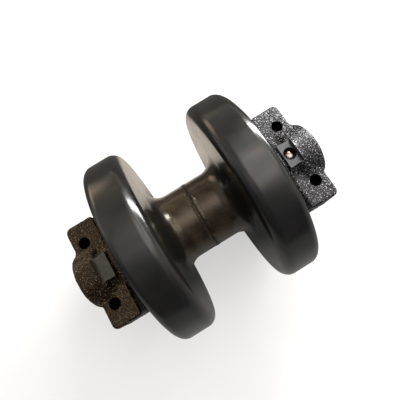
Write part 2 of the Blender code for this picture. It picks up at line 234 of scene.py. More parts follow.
# How finely the surfaces are made
FINE_STEPS = 240
INNER_STEPS = 128
WELD_STEPS = 720
POCKET_STEPS = 160
BAR_STEPS = 96
HOLE_STEPS = 72
SHAFT_HOLE_STEPS = 64
SOCKET_STEPS = 6
ARC_DEGREES = 6.0
CAST_STEP = 0.0009
SHARP_DEGREES = 32
CAST_SHARP_DEGREES = 40


# ---------------------------------------------------------------- meshes

def shaded(mesh, sharp_degrees=SHARP_DEGREES):
    """Smooth shading, broken at sharp edges."""
    mesh.shade_smooth()
    mesh.set_sharp_from_angle(angle=math.radians(sharp_degrees))


def placed(name, mesh, look):
    """A new object in the scene with this mesh, and with this look if there is one."""
    obj = bpy.data.objects.new(name, mesh)
    bpy.context.scene.collection.objects.link(obj)
    if look:
        mesh.materials.append(look)
    return obj


def add_bmesh(name, shape, look):
    """An object from a bmesh, which is used up."""
    bmesh.ops.recalc_face_normals(shape, faces=shape.faces)
    mesh = bpy.data.meshes.new(name)
    shape.to_mesh(mesh)
    shape.free()
    shaded(mesh)
    return placed(name, mesh, look)


def add_mesh(name, points, faces, look):
    """An object from points and faces."""
    mesh = bpy.data.meshes.new(name)
    mesh.from_pydata(points, [], faces)
    shaded(mesh)
    return placed(name, mesh, look)


def arc(centre, radius, start, end, steps):
    """Points of an arc in a plane, from the angle start to the angle end, in degrees."""
    points = []
    for i in range(steps + 1):
        angle = math.radians(start + (end - start) * i / steps)
        points.append((centre[0] + radius * math.cos(angle), centre[1] + radius * math.sin(angle)))
    return points


def rounded(corners, closed=True):
    """An outline from corners (x, radius) or (x, radius, fillet), with an arc in each filleted corner."""
    points = []
    count = len(corners)
    for i, corner in enumerate(corners):
        here = Vector(corner[:2])
        fillet = corner[2] if len(corner) > 2 else 0.0
        if not fillet or (not closed and i in (0, count - 1)):
            points.append(tuple(here))
            continue
        back = (Vector(corners[i - 1][:2]) - here).normalized()
        ahead = (Vector(corners[(i + 1) % count][:2]) - here).normalized()
        half = back.angle(ahead) / 2
        reach = fillet / math.tan(half)
        centre = here + (back + ahead).normalized() * fillet / math.sin(half)
        first, last = here + back * reach - centre, here + ahead * reach - centre
        turn = first.angle_signed(last)
        steps = max(2, math.ceil(abs(math.degrees(turn)) / ARC_DEGREES))
        for k in range(steps + 1):
            spoke = Matrix.Rotation(-turn * k / steps, 2) @ first
            points.append(tuple(centre + spoke))
    return points


def turned(name, outline, look, side=RIGHT, steps=FINE_STEPS, closed=True):
    """Turns an outline of (x, radius) points about the X axis. An open one starts and ends on it."""
    along, radius = np.array(outline).T
    along = along * side
    turns = 2 * math.pi * np.arange(steps) / steps
    rings = slice(None) if closed else slice(1, -1)
    ring_x, ring_radius = along[rings], radius[rings]
    grid = np.stack(np.broadcast_arrays(
        ring_x[:, None], ring_radius[:, None] * np.sin(turns), ring_radius[:, None] * np.cos(turns)
    ), -1)
    count = len(ring_x)
    number = np.arange(count * steps).reshape(count, steps)
    beside = np.roll(number, -1, 1)
    onward, beside_onward = np.roll(number, -1, 0), np.roll(beside, -1, 0)
    quads = np.stack([number, onward, beside_onward, beside], -1)
    if not closed:
        quads = quads[:-1]
    points = grid.reshape(-1, 3)
    faces = quads.reshape(-1, 4).tolist()
    if not closed:
        points = np.vstack([points, (along[0], 0, 0), (along[-1], 0, 0)])
        faces += [(count * steps, a, b) for a, b in zip(number[0].tolist(), beside[0].tolist())]
        faces += [(count * steps + 1, b, a) for a, b in zip(number[-1].tolist(), beside[-1].tolist())]
    corners = points[quads.reshape(-1, 4)]
    if np.einsum("ij,ij->i", corners[:, 0], np.cross(corners[:, 1], corners[:, 2])).sum() < 0:
        faces = [face[::-1] for face in faces]
    return add_mesh(name, points.tolist(), faces, look)


def bar(name, low, high, radius, steps):
    """A plain round bar along X, to cut with."""
    outline = [(low, 0), (low, radius), (high, radius), (high, 0)]
    return turned(name, outline, None, steps=steps, closed=False)


def upright(obj, x, y=0.0):
    """Stands a bar turned about X on end, along Z, at the given place."""
    obj.data.transform(Matrix.Translation((x, y, 0)) @ Matrix.Rotation(math.radians(-90), 4, "Y"))
    return obj


def cut(obj, tool, solver="EXACT"):
    """Cuts the tool out of the object for good, and deletes the tool."""
    step = obj.modifiers.new("cut", "BOOLEAN")
    step.operation = "DIFFERENCE"
    step.solver = solver
    step.object = tool
    graph = bpy.context.evaluated_depsgraph_get()
    made = bpy.data.meshes.new_from_object(obj.evaluated_get(graph))
    obj.modifiers.clear()
    obj.data = made
    bpy.data.objects.remove(tool, do_unlink=True)


def fit(obj, body, slot, *nodes):
    """Puts a piece on its body and hides the nodes that it stands for. Its material slot is not used."""
    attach(obj, body)
    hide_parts(*nodes)


# ---------------------------------------------------------------- materials

def new_look(name, metallic=0.0, **sockets):
    """A material with constant values on its shader's own sockets. Underscores stand for spaces."""
    made = bpy.data.materials.new(name)
    made.use_nodes = True
    shader = made.node_tree.nodes["Principled BSDF"]
    shader.inputs["Metallic"].default_value = metallic
    for key, value in sockets.items():
        shader.inputs[key.replace("_", " ")].default_value = value
    return made, made.node_tree, shader


def place(tree):
    """Where a point lies on its object."""
    found = tree.nodes.get("Place")
    if not found:
        found = tree.nodes.new("ShaderNodeTexCoord")
        found.name = "Place"
    return found.outputs["Object"]


def grain(tree, size, detail, roughness=0.5):
    """Noise whose lumps are about size metres wide."""
    node = tree.nodes.new("ShaderNodeTexNoise")
    node.inputs["Scale"].default_value = 1 / size
    node.inputs["Detail"].default_value = detail
    node.inputs["Roughness"].default_value = roughness
    tree.links.new(place(tree), node.inputs["Vector"])
    return node.outputs["Fac"]


def ramp(tree, source, *stops):
    """Colours or greys set along a value, from (place, colour) stops."""
    node = tree.nodes.new("ShaderNodeValToRGB")
    elements = node.color_ramp.elements
    while len(elements) < len(stops):
        elements.new(0.5)
    for element, (at, colour) in zip(elements, stops):
        element.position = at
        element.color = (*colour, 1.0) if isinstance(colour, tuple) else (colour, colour, colour, 1.0)
    tree.links.new(source, node.inputs["Fac"])
    return node.outputs["Color"]


def surfaced(tree, shader, colour, rough, *layers):
    """Sets a shader's colour, roughness, and a chain of bumps of (height source, depth in metres)."""
    tree.links.new(colour, shader.inputs["Base Color"])
    tree.links.new(rough, shader.inputs["Roughness"])
    last = None
    for source, depth in layers:
        node = tree.nodes.new("ShaderNodeBump")
        node.inputs["Strength"].default_value = 1.0
        node.inputs["Distance"].default_value = depth
        tree.links.new(source, node.inputs["Height"])
        if last:
            tree.links.new(last, node.inputs["Normal"])
        last = node.outputs["Normal"]
    tree.links.new(last, shader.inputs["Normal"])


def lathe_lines(tree):
    """Fine rings left by turning, one after another along X."""
    pitch = 0.0004
    wave_units_per_band = 20
    node = tree.nodes.new("ShaderNodeTexWave")
    node.wave_type = "BANDS"
    node.bands_direction = "X"
    node.inputs["Scale"].default_value = 1 / pitch / wave_units_per_band
    node.inputs["Distortion"].default_value = 1.5
    node.inputs["Detail"].default_value = 2.0
    tree.links.new(place(tree), node.inputs["Vector"])
    return node.outputs["Fac"]


def waist_share(tree):
    """1 on the waist, falling to 0 on the fillets at its ends."""
    squash = tree.nodes.new("ShaderNodeMapping")
    squash.inputs["Scale"].default_value = (WAIST_SQUASH, 1.0, 1.0)
    length = tree.nodes.new("ShaderNodeVectorMath")
    length.operation = "LENGTH"
    fade = tree.nodes.new("ShaderNodeMapRange")
    fade.interpolation_type = "SMOOTHSTEP"
    fade.inputs["From Min"].default_value = WAIST_BROWN_END
    fade.inputs["From Max"].default_value = WAIST_BROWN_START
    tree.links.new(place(tree), squash.inputs["Vector"])
    tree.links.new(squash.outputs["Vector"], length.inputs[0])
    tree.links.new(length.outputs["Value"], fade.inputs["Value"])
    return fade.outputs["Result"]


def blended(tree, share, first, second):
    """The first colour where the share is 0, the second where it is 1. Each is a socket or a constant."""
    node = tree.nodes.new("ShaderNodeMix")
    node.data_type = "RGBA"
    tree.links.new(share, node.inputs["Factor"])
    for key, value in (("A", first), ("B", second)):
        if isinstance(value, tuple):
            node.inputs[key].default_value = (*value, 1.0)
        else:
            tree.links.new(value, node.inputs[key])
    return node.outputs["Result"]


def shell_paint():
    """Satin black paint on turned steel, with a fine orange peel and faint waves; browner with a warmer gloss
    on the waist, partly paint tone and partly painted warm reflection.
    """
    look, tree, shader = new_look(
        "shell_paint", Specular_IOR_Level=0.5, Coat_Weight=0.25, Coat_Roughness=0.10
    )
    black = ramp(
        tree, grain(tree, 0.030, 3), (0.35, (0.0060, 0.0060, 0.0058)), (0.70, (0.0110, 0.0100, 0.0088))
    )
    # Browner colour and warmer gloss on the waist: partly the paint's tone, partly painted warm reflection.
    brown = ramp(tree, grain(tree, 0.014, 3), *WAIST_BROWN)
    share = waist_share(tree)
    tree.links.new(blended(tree, share, (1.0, 1.0, 1.0), WAIST_TINT), shader.inputs["Specular Tint"])
    rough = ramp(tree, grain(tree, 0.012, 4, 0.6), (0.30, 0.18), (0.75, 0.27))
    surfaced(
        tree, shader, blended(tree, share, black, brown), rough,
        (grain(tree, 0.0500, 1), 0.0010), (grain(tree, 0.0016, 2), 0.00002),
    )
    return look


def weld_paint():
    """Brownish colour over the weld, partly paint tone and partly painted warm reflection, with painted shade
    along an uneven line where the bead meets the shell.
    """
    look, tree, shader = new_look("weld_paint", Coat_Weight=0.15, Coat_Roughness=0.12)
    parts = tree.nodes.new("ShaderNodeSeparateXYZ")
    tree.links.new(place(tree), parts.inputs["Vector"])
    wander = tree.nodes.new("ShaderNodeMath")
    wander.operation = "MULTIPLY_ADD"
    wander.inputs[1].default_value = 0.0060
    tree.links.new(grain(tree, 0.0110, 3), wander.inputs[0])
    tree.links.new(parts.outputs["X"], wander.inputs[2])
    spread = tree.nodes.new("ShaderNodeMapRange")
    spread.inputs["From Min"].default_value = -0.0020
    spread.inputs["From Max"].default_value = 0.0080
    tree.links.new(wander.outputs["Value"], spread.inputs["Value"])
    # Painted shade: a dark, dull line along the bead's toe, where it meets the shell.
    toe_shade = ramp(tree, spread.outputs["Result"], (0.34, 0.0), (0.44, 0.8), (0.50, 0.8), (0.60, 0.0))
    brown = ramp(tree, grain(tree, 0.008, 3), *WAIST_BROWN)
    gloss = blended(tree, toe_shade, (0.5, 0.5, 0.5), (0.08, 0.08, 0.08))
    tree.links.new(gloss, shader.inputs["Specular IOR Level"])
    tree.links.new(blended(tree, toe_shade, WAIST_TINT, (0.4, 0.3, 0.2)), shader.inputs["Specular Tint"])
    surfaced(
        tree, shader, blended(tree, toe_shade, brown, (0.002, 0.0015, 0.001)),
        blended(tree, toe_shade, (0.22, 0.22, 0.22), (0.75, 0.75, 0.75)),
        (grain(tree, 0.0090, 2), 0.0006), (grain(tree, 0.0016, 2), 0.00005),
    )
    return look


def cast_paint(name, low, high, painted_glint, tint):
    """Thick glossy paint over a rough casting, with painted shade in its hollows and painted glints on its
    highest grains.
    """
    look, tree, shader = new_look(
        name, Specular_IOR_Level=0.42, Specular_Tint=(*tint, 1.0), Coat_Weight=0.07, Coat_Roughness=0.06
    )
    skin_grain = grain(tree, CAST_GRAIN, 1)
    # The grain's hollows get the first, near-black colour as painted shade, and its highest grains the last,
    # brightest colour as painted glints.
    colour = ramp(tree, skin_grain, (0.45, low), (0.57, high), (0.63, high), (0.70, painted_glint))
    rough = ramp(tree, grain(tree, 0.0030, 3), (0.30, 0.14), (0.75, 0.26))
    surfaced(tree, shader, colour, rough, (skin_grain, 0.00085))
    return look


def bore_shade_look():
    """Bare iron inside the holes, coloured nearly black as painted shade."""
    look, tree, shader = new_look("bore_painted_shade", Specular_IOR_Level=0.15)
    colour = ramp(tree, grain(tree, 0.0030, 3), (0.30, (0.002, 0.002, 0.002)), (0.75, (0.006, 0.005, 0.004)))
    rough = ramp(tree, grain(tree, 0.0020, 2), (0.30, 0.60), (0.75, 0.85))
    surfaced(tree, shader, colour, rough, (grain(tree, 0.0010, 2), 0.00005))
    return look


def milled_paint(name, low, high):
    """A milled face under thin paint."""
    look, tree, shader = new_look(name, Specular_IOR_Level=0.5, Coat_Weight=0.3, Coat_Roughness=0.15)
    colour = ramp(tree, grain(tree, 0.0050, 3), (0.30, low), (0.72, high))
    rough = ramp(tree, grain(tree, 0.0040, 3), (0.30, 0.28), (0.75, 0.42))
    surfaced(tree, shader, colour, rough, (grain(tree, 0.0020, 3, 0.6), 0.00006))
    return look


def metal(name, dark, light, rough_low, rough_high):
    """Bare machined metal with turning rings and slight stains."""
    look, tree, shader = new_look(name, metallic=1.0)
    colour = ramp(tree, grain(tree, 0.0070, 4, 0.6), (0.30, dark), (0.70, light))
    rough = ramp(tree, grain(tree, 0.0030, 3), (0.30, rough_low), (0.75, rough_high))
    surfaced(tree, shader, colour, rough, (lathe_lines(tree), 0.000015), (grain(tree, 0.0010, 2), 0.00001))
    return look


def pin_metal():
    """Ground pin end with turning rings, a rusty film and oil in places."""
    look, tree, shader = new_look("pin_steel", metallic=1.0)
    rings = tree.nodes.new("ShaderNodeTexWave")
    rings.wave_type = "RINGS"
    rings.rings_direction = "Z"
    rings.inputs["Scale"].default_value = 60.0
    rings.inputs["Distortion"].default_value = 0.8
    tree.links.new(place(tree), rings.inputs["Vector"])
    rust, film, steel = (0.20, 0.10, 0.07), (0.34, 0.28, 0.25), (0.55, 0.53, 0.52)
    colour = ramp(tree, grain(tree, 0.0060, 3), (0.36, rust), (0.50, film), (0.62, steel))
    rough = ramp(tree, grain(tree, 0.0030, 3), (0.30, 0.16), (0.75, 0.34))
    surfaced(
        tree, shader, colour, rough, (rings.outputs["Fac"], 0.00012), (grain(tree, 0.0010, 2), 0.00001)
    )
    return look


def rubber(name):
    """Moulded black rubber, slightly greasy."""
    look, tree, shader = new_look(name, Specular_IOR_Level=0.4)
    colour = ramp(tree, grain(tree, 0.0030, 3), (0.30, (0.010, 0.010, 0.010)), (0.75, (0.022, 0.021, 0.020)))
    rough = ramp(tree, grain(tree, 0.0015, 2), (0.30, 0.55), (0.75, 0.75))
    surfaced(tree, shader, colour, rough, (grain(tree, 0.0006, 2), 0.00002))
    return look


# ---------------------------------------------------------------- turned pieces

def shell_outline():
    """Half a shell's section, as (x, radius) points."""
    dish_x = RIM_OUTER_X - DISH_DEPTH
    seal_back = SEAL_X - SEAL_BORE_BACK
    flange_seat = seal_back - BUSHING_FLANGE - FLANGE_CLEARANCES * CLEARANCE
    root = CLEARANCE / 2
    outline = rounded([
        (root, RESERVOIR_RADIUS, 0.0006),
        (root, WAIST_RADIUS - WELD_DEPTH),
        (WELD_HALF_WIDTH, WAIST_RADIUS, 0.0004),
        (WEB_INNER_X, WAIST_RADIUS, WAIST_FILLET),
        (WEB_INNER_X, TREAD_RADIUS, RIM_INNER_ROUND),
        (RIM_OUTER_X, TREAD_RADIUS, RIM_OUTER_ROUND),
        (RIM_OUTER_X, DISH_OUTER_RADIUS, 0.0020),
        (dish_x, DISH_OUTER_RADIUS - DISH_SLOPE, 0.0040),
        (dish_x, DISH_INNER_RADIUS, 0.0040),
        (dish_x + DISH_SLOPE, HUB_RADIUS, 0.0030),
        (HUB_END_X, HUB_RADIUS, 0.0012),
        (HUB_END_X, SEAL_BORE_RADIUS, 0.0006),
        (seal_back, SEAL_BORE_RADIUS, 0.0010),
        (seal_back, BUSHING_FLANGE_RADIUS + CLEARANCE, 0.0003),
        (flange_seat, BUSHING_FLANGE_RADIUS + CLEARANCE, 0.0003),
        (flange_seat, BUSHING_RADIUS + CLEARANCE, 0.0003),
        (BUSHING_INNER_X, BUSHING_RADIUS + CLEARANCE, 0.0003),
        (BUSHING_INNER_X, RESERVOIR_RADIUS, 0.0003),
    ])
    return with_ridges(outline)


def with_ridges(outline):
    """Adds the two fine turned ridges on the rim's outer rounding."""
    centre = Vector((RIM_OUTER_X - RIM_OUTER_ROUND, TREAD_RADIUS - RIM_OUTER_ROUND))
    tiny = 1e-6
    # Degrees down the rounding, closer together over the ridges
    angles = (*range(3, 33, 6), *range(35, 65), *range(69, 90, 6))
    made = []
    done = False
    for point in outline:
        away = Vector(point) - centre
        on_round = min(away) > tiny and abs(away.length - RIM_OUTER_ROUND) < tiny
        if not on_round:
            made.append(point)
        elif not done:
            done = True
            for degrees in angles:
                rise = sum(RIDGE_HEIGHT * math.exp(-((degrees - at) / RIDGE_SPREAD) ** 2) for at in RIDGES)
                turn = math.radians(90 - degrees)
                spoke = Vector((math.cos(turn), math.sin(turn)))
                made.append(tuple(centre + (RIM_OUTER_ROUND + rise) * spoke))
    return made


def make_shells(look):
    """The two shell halves, each the other turned round."""
    for word, side in SIDES.items():
        shell = turned(f"{word}_shell", shell_outline(), look, side)
        fit(shell, "roller", "shell_paint", f"shell_{word}")


def make_weld(look):
    """The bead over the seam: nearly flush, with ripples, lumps, a few pits and a wandering groove."""
    half = WELD_HALF_WIDTH + WELD_OVERLAP
    toe = WAIST_RADIUS - CLEARANCE
    crown_radius = (half**2 + WELD_CROWN**2) / (2 * WELD_CROWN)
    spread = math.degrees(math.asin(half / crown_radius))
    centre = (0.0, toe + WELD_CROWN - crown_radius)
    top = arc(centre, crown_radius, 90 + spread, 90 - spread, 40)
    root = WAIST_RADIUS - WELD_DEPTH + 0.0008
    shoulder = toe - 0.0010
    outline = top + [
        (WELD_TOE_X, shoulder), (CLEARANCE, root), (-CLEARANCE, root), (-WELD_TOE_X, shoulder),
    ]
    bead = turned("weld", outline, look, steps=WELD_STEPS)
    for vert in bead.data.vertices:
        radius = math.hypot(vert.co.y, vert.co.z)
        if radius < toe - 0.0002:
            continue
        angle = math.atan2(vert.co.z, vert.co.y)
        around = Vector((0.0, math.cos(angle), math.sin(angle)))
        inside = 1 - (abs(vert.co.x) / half) ** 2
        spot = Vector((vert.co.x * 260, around.y * 9, around.z * 9))
        ripple = RIPPLE_HEIGHT * math.sin(angle * WELD_RIPPLES + 5 * (vert.co.x / half) ** 2)
        lump = LUMP_HEIGHT * noise.noise(spot) + SMALL_LUMP_HEIGHT * noise.noise(spot * 3.1)
        wander = GROOVE_WANDER * (noise.noise(around * 3) - 0.5)
        groove = GROOVE_DEPTH * math.exp(-(((vert.co.x - wander) / GROOVE_SPREAD) ** 2))
        pit = PIT_DEPTH * max(0.0, noise.noise(spot * 1.7 + Vector((7, 1, 3))) - PIT_THRESHOLD)
        grow = (ripple + lump - groove - pit) * max(inside, 0.0)
        vert.co.y *= 1 + grow / radius
        vert.co.z *= 1 + grow / radius
    fit(bead, "roller", "shell_paint", "weld_bead")


def make_bushings(look):
    """Flanged bushings, pressed into the shell halves."""
    seal_back = SEAL_X - SEAL_BORE_BACK
    flange_end = seal_back - 2 * CLEARANCE
    flange_start = flange_end - BUSHING_FLANGE
    outline = rounded([
        (BUSHING_INNER_X + CLEARANCE, BUSHING_BORE, 0.0008),
        (BUSHING_INNER_X + CLEARANCE, BUSHING_RADIUS, 0.0008),
        (flange_start, BUSHING_RADIUS, 0.0003),
        (flange_start, BUSHING_FLANGE_RADIUS, 0.0005),
        (flange_end, BUSHING_FLANGE_RADIUS, 0.0005),
        (flange_end, BUSHING_BORE, 0.0008),
    ])
    for word, side in SIDES.items():
        bushing = turned(f"{word}_bushing", outline, look, side, INNER_STEPS)
        fit(bushing, "roller", "bronze", f"bushing_{word}")


def make_shaft(look):
    """Ground shaft with rounded grooves, cross holes for the lock pins and the oil gallery."""
    groove = ORING_GROOVE_HALF_WIDTH
    half = [
        (ORING_X - groove, SHAFT_RADIUS, 0.0002), (ORING_X - groove, ORING_GROOVE_RADIUS, 0.0004),
        (ORING_X + groove, ORING_GROOVE_RADIUS, 0.0004), (ORING_X + groove, SHAFT_RADIUS, 0.0002),
        (SHAFT_END_X - SHAFT_CHAMFER, SHAFT_RADIUS, 0.0004),
        (SHAFT_END_X, SHAFT_RADIUS - SHAFT_CHAMFER, 0.0003),
        (SHAFT_END_X, 0.0034, 0.0002), (SHAFT_END_X - 0.0050, 0.0),
    ]
    mirrored = [(-corner[0], *corner[1:]) for corner in reversed(half)]
    shaft = turned("axle_shaft", rounded(mirrored + half, closed=False), look, closed=False)
    reach = SHAFT_RADIUS + OVERCUT
    for side in SIDES.values():
        hole = bar("hole", -reach, reach, PIN_RADIUS + CLEARANCE, SHAFT_HOLE_STEPS)
        cut(shaft, upright(hole, side * PIN_X))
    thread_start = SHAFT_END_X - PLUG_THREAD_DEPTH
    bore = PLUG_THREAD_RADIUS + CLEARANCE
    gallery = turned("gallery", [
        (GALLERY_INNER_X, 0), (GALLERY_INNER_X, GALLERY_RADIUS), (thread_start, GALLERY_RADIUS),
        (thread_start, bore), (SHAFT_END_X + OVERCUT, bore), (SHAFT_END_X + OVERCUT, 0),
    ], None, steps=SHAFT_HOLE_STEPS, closed=False)
    gallery.data.transform(Matrix.Translation((0, GALLERY_OFFSET_Y, 0)))
    cut(shaft, gallery)
    shaded(shaft.data)
    fit(shaft, "axle", "ground_steel", "shaft")


def make_plug(zinc, copper):
    """Filler plug with a six-sided socket, and its sealing washer, over the oil gallery."""
    face = SHAFT_END_X + CLEARANCE
    seat = face + WASHER_THICKNESS + CLEARANCE
    inner = SHAFT_END_X - PLUG_THREAD_DEPTH + 2 * CLEARANCE
    thread = PLUG_THREAD_RADIUS - CLEARANCE / 2
    top = seat + PLUG_HEAD
    plug = turned("filler_plug", rounded([
        (inner, 0.0), (inner, thread - 0.0005), (inner + 0.0005, thread), (seat, thread, 0.0002),
        (seat, PLUG_HEAD_RADIUS, 0.0004), (top, PLUG_HEAD_RADIUS, 0.0007), (top, 0.0),
    ], closed=False), zinc, steps=BAR_STEPS, closed=False)
    cut(plug, bar("socket", top - PLUG_SOCKET_DEPTH, top + OVERCUT, PLUG_SOCKET_RADIUS, SOCKET_STEPS))
    washer = turned("filler_washer", rounded([
        (face, PLUG_THREAD_RADIUS + CLEARANCE, 0.0002), (face, PLUG_HEAD_RADIUS, 0.0003),
        (face + WASHER_THICKNESS, PLUG_HEAD_RADIUS, 0.0003),
        (face + WASHER_THICKNESS, PLUG_THREAD_RADIUS + CLEARANCE, 0.0002),
    ]), copper, steps=BAR_STEPS)
    for piece in (plug, washer):
        piece.data.transform(Matrix.Translation((0, GALLERY_OFFSET_Y, 0)))
        shaded(piece.data)
    fit(plug, "axle", "zinc", "oil_plug")
    fit(washer, "axle", "copper", "plug_washer")


def make_seals(iron, gum):
    """Face seals, each ring with its toric ring, and the O-rings between shaft and collars."""
    bodies = {"turning": (-1, "roller"), "fixed": (1, "axle")}
    for word, side in SIDES.items():
        for kind, (away, body) in bodies.items():
            section = [
                (CLEARANCE / 2, SEAL_RING_BORE, 0.0003), (CLEARANCE / 2, SEAL_NOSE_RADIUS, 0.0002),
                (SEAL_NOSE, SEAL_NOSE_RADIUS, 0.0004), (SEAL_NOSE, SEAL_RAMP_FRONT_RADIUS, 0.0006),
                (SEAL_RING_BACK, SEAL_RAMP_BACK_RADIUS, 0.0005), (SEAL_RING_BACK, SEAL_RING_BORE, 0.0005),
            ]
            outline = rounded([(SEAL_X + away * x, r, f) for x, r, f in section])
            ring = turned(f"{word}_{kind}_seal_ring", outline, iron, side, INNER_STEPS)
            fit(ring, body, "seal_iron", f"seal_ring_{kind}_{word}")
            centre = (SEAL_X + away * TORIC_BACK, TORIC_RADIUS)
            toric = turned(
                f"{word}_{kind}_toric", arc(centre, TORIC_SECTION, 0, 345, 23), gum, side, INNER_STEPS
            )
            fit(toric, body, "seal_rubber", f"toric_{kind}_{word}")
        section = arc((ORING_X, ORING_RADIUS), ORING_SECTION, 0, 337.5, 15)
        oring = turned(f"{word}_shaft_oring", section, gum, side, INNER_STEPS)
        fit(oring, "axle", "seal_rubber", f"shaft_oring_{word}")


# ---------------------------------------------------------------- cast collars

def skin(field, low, step):
    """The surface where a sampled field is zero, with the inside negative: one point in each crossed cell."""
    cells = tuple(n - 1 for n in field.shape)
    total, hits = np.zeros((*cells, 3)), np.zeros(cells)
    crossings = []
    for axis in range(3):
        one, two = (axis + 1) % 3, (axis + 2) % 3
        field_low = np.take(field, range(0, cells[axis]), axis)
        field_high = np.take(field, range(1, cells[axis] + 1), axis)
        crossed = (field_low < 0) != (field_high < 0)
        share = np.where(crossed, field_low / np.where(crossed, field_low - field_high, 1.0), 0.0)
        for shift_one in (0, 1):
            for shift_two in (0, 1):
                window = [slice(None)] * 3
                window[one] = slice(shift_one, shift_one + cells[one])
                window[two] = slice(shift_two, shift_two + cells[two])
                seen = crossed[tuple(window)]
                hits += seen
                total[..., axis] += share[tuple(window)]
                total[..., one] += shift_one * seen
                total[..., two] += shift_two * seen
        crossings.append((crossed, field_low < 0))
    used = hits > 0
    number = np.full(cells, -1)
    number[used] = np.arange(used.sum())
    points = np.argwhere(used) + total[used] / hits[used][:, None]
    quads = []
    for axis, (crossed, leaving) in enumerate(crossings):
        one, two = (axis + 1) % 3, (axis + 2) % 3
        at = np.argwhere(crossed)
        out = leaving[crossed]
        around = []
        for shift_one, shift_two in ((1, 1), (0, 1), (0, 0), (1, 0)):
            cell = at.copy()
            cell[:, one] -= shift_one
            cell[:, two] -= shift_two
            around.append(number[tuple(cell.T)])
        quad = np.stack(around, 1)
        quad[~out] = quad[~out][:, ::-1]
        quads.append(quad)
    return np.array(low) + points * step, np.concatenate(quads)


def lumps(grid, size, seed):
    """Smooth random lumps about size wide, between -1 and 1, on a grid given by its three axes."""
    cells = [int((axis[-1] - axis[0]) / size) + 3 for axis in grid]
    values = np.random.default_rng(seed).uniform(-1, 1, cells)
    for number, axis in enumerate(grid):
        place_on = (axis - axis[0]) / size
        first = place_on.astype(int)
        share = place_on - first
        share = share * share * (3 - 2 * share)
        weights = np.zeros((len(axis), cells[number]))
        weights[np.arange(len(axis)), first] = 1 - share
        weights[np.arange(len(axis)), first + 1] = share
        values = np.moveaxis(np.tensordot(weights, values, (1, number)), 0, number)
    return values


def round_box(point, centre, half, corner):
    """Distance to a box with rounded edges."""
    away = [np.abs(p - c) - h + corner for p, c, h in zip(point, centre, half)]
    outside = np.sqrt(sum(np.maximum(a, 0) ** 2 for a in away))
    return outside + np.minimum(np.maximum.reduce(np.broadcast_arrays(*away)), 0) - corner


def round_disc(along, radial, start, end, radius, corner):
    """Distance to a turned disc with rounded edges."""
    flat = np.abs(along - (start + end) / 2) - (end - start) / 2 + corner
    round_off = radial - radius + corner
    outside = np.sqrt(np.maximum(flat, 0) ** 2 + np.maximum(round_off, 0) ** 2)
    return outside + np.minimum(np.maximum(flat, round_off), 0) - corner


def blend(first, second, width):
    """Union of two distances, with a fillet about width wide where they meet."""
    share = np.clip(0.5 + 0.5 * (second - first) / width, 0, 1)
    return second + (first - second) * share - width * share * (1 - share)


def pad_distance(x, y, z):
    """Both bolt pads as one slab, its plan corners rounded more on the outside than by the roller."""
    wide = np.abs(y)
    beyond = 0.02
    outer = round_plan(x, wide, PAD_INNER_X - beyond, PAD_OUTER_X, PAD_CORNER_OUT)
    inner = round_plan(-x, wide, -PAD_OUTER_X - beyond, -PAD_INNER_X, PAD_CORNER_IN)
    plan = np.maximum(outer, inner)
    side = plan + PAD_EDGE_ROUND
    rise = z - PAD_SEAT_Z + PAD_EDGE_ROUND
    corner = np.sqrt(np.maximum(side, 0) ** 2 + np.maximum(rise, 0) ** 2)
    block = corner + np.minimum(np.maximum(side, rise), 0) - PAD_EDGE_ROUND
    below = MOUNT_FACE_Z - 0.003
    return np.maximum(block, below - z)


def round_plan(x, wide, start, end, corner):
    """Distance in plan to the pads, from start along x, with both corners at their end rounded."""
    right = x - end + corner
    top = wide - PAD_HALF_WIDTH + corner
    outside = np.sqrt(np.maximum(right, 0) ** 2 + np.maximum(top, 0) ** 2)
    return np.maximum(outside + np.minimum(np.maximum(right, top), 0) - corner, start - x)


def collar_field(grid, seed):
    """Distance to the cast collar, for the right-hand side, with its rough surface."""
    x, y, z = np.meshgrid(*grid, indexing="ij", sparse=True)
    radial = np.sqrt(y * y + z * z)
    face = SEAL_X + SEAL_GAP / 2
    pads = pad_distance(x, y, z)
    boss = round_disc(x, radial, BOSS_INNER_X - 0.004, BOSS_END_X, BOSS_RADIUS, BOSS_ROUND)
    flange = round_disc(x, radial, face, COLLAR_FLANGE_END_X, HUB_RADIUS, 0.0015)
    inner = PAD_INNER_X + NOTCH_DEPTH - 0.0006
    outer = BOSS_INNER_X + COLLAR_OVERLAP
    neck = round_disc(x, radial, face + COLLAR_OVERLAP, outer, COLLAR_NECK_RADIUS + 0.0005, 0.0010)
    narrowing = (FACET_HALF_WIDTH_OUT - FACET_HALF_WIDTH_IN) * (x - inner) / (outer - inner)
    half = ((outer - inner) / 2, FACET_HALF_WIDTH_IN + narrowing, FACET_Z + 0.002)
    block = round_box((x, y, z), ((inner + outer) / 2, 0.0, 0.0), half, 0.0012)
    body = blend(pads, boss, BOSS_FILLET)
    body = blend(body, block, BLOCK_FILLET)
    body = blend(body, neck, NECK_FILLET)
    body = blend(body, flange, FLANGE_FILLET)
    for number, (width, height) in enumerate(CAST_LUMPS):
        body = body + height * lumps(grid, width, seed + number)
    return body


def cast_body(name, side, seed):
    """The collar's rough casting, before anything is machined."""
    margin = 4 * CAST_STEP
    start = (SEAL_X + SEAL_GAP / 2, -PAD_HALF_WIDTH, -HUB_RADIUS)
    end = (BOSS_END_X, PAD_HALF_WIDTH, HUB_RADIUS)
    grid = [np.arange(a - margin, b + margin, CAST_STEP) for a, b in zip(start, end)]
    field = collar_field(grid, seed)
    points, quads = skin(field, [axis[0] for axis in grid], CAST_STEP)
    points[:, 0] *= side
    if side < 0:
        quads = quads[:, ::-1]
    mesh = bpy.data.meshes.new(name)
    mesh.from_pydata(points.tolist(), [], quads.tolist())
    return placed(name, mesh, None)


